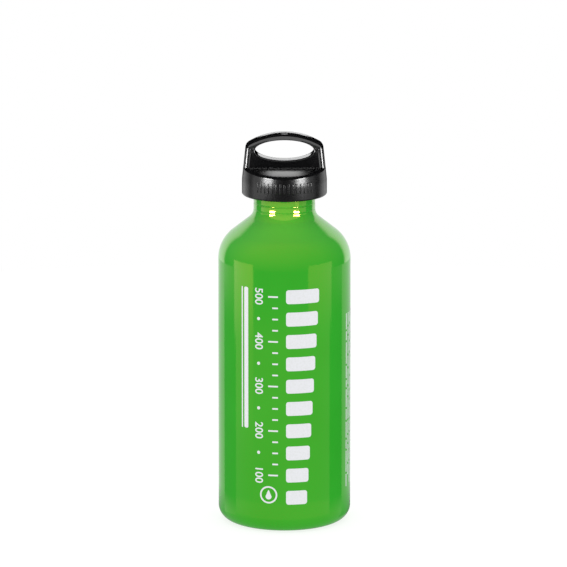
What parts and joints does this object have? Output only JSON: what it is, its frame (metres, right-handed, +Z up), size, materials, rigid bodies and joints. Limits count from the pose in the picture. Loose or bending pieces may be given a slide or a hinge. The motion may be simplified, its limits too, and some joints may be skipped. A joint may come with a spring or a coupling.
{
  "type": "camping fuel bottle",
  "caption": "Refillable aluminium fuel bottle with a necked shoulder, internal neck thread and a push-and-turn screw cap with a carrying loop.",
  "frame": {"origin": "middle of the standing ring, on the bottle's axis at the surface it stands on", "axes": "+Z up along the bottle's axis, X along the width of the carrying loop, -Y towards the front seen in the picture"},
  "size_m": [0.073, 0.073, 0.2176],
  "materials": {
    "green_lacquer": "drawn aluminium under a glossy green baked lacquer",
    "bare_aluminium": "bare machined",
    "cap_nylon": "black moulded nylon, satin",
    "plug_nylon": "black moulded nylon",
    "seal_rubber": "black fuel-proof rubber",
    "spring_steel": "drawn stainless wire",
    "washer_acetal": "natural white acetal"
  },
  "bodies": {
    "bottle": {"bottle_shell": "green_lacquer", "neck_thread_insert": "bare_aluminium"},
    "plug_seal": {"plug_seal_ring": "seal_rubber"},
    "plug": {"inner_plug": "plug_nylon", "return_spring": "spring_steel"},
    "slip_washer": {"thrust_washer": "washer_acetal"},
    "cap": {"outer_cap": "cap_nylon"}
  },
  "joints": [
    {"name": "cap_lift", "type": "slide", "parent": "bottle", "child": "plug_seal", "axis": [0, 0, 1], "range_m": [0, 0.01575]},
    {"name": "cap_unscrew", "type": "hinge", "parent": "plug_seal", "child": "plug", "pos_m": [0, 0, 0.188], "axis": [0, 0, 1], "range_deg": [0, 1892]},
    {"name": "cap_push", "type": "slide", "parent": "plug", "child": "slip_washer", "axis": [0, 0, -1], "range_m": [0, 0.0018], "stiffness_N_per_m": 1500, "springref_m": -0.004, "deforming": ["return_spring"]},
    {"name": "cap_freewheel", "type": "hinge", "parent": "slip_washer", "child": "cap", "pos_m": [0, 0, 0.1936], "axis": [0, 0, 1], "continuous": true}
  ],
  "couplings": [
    {"joint": "cap_unscrew", "follows": "cap_lift", "rad_per_m": 2094.4}
  ]
}
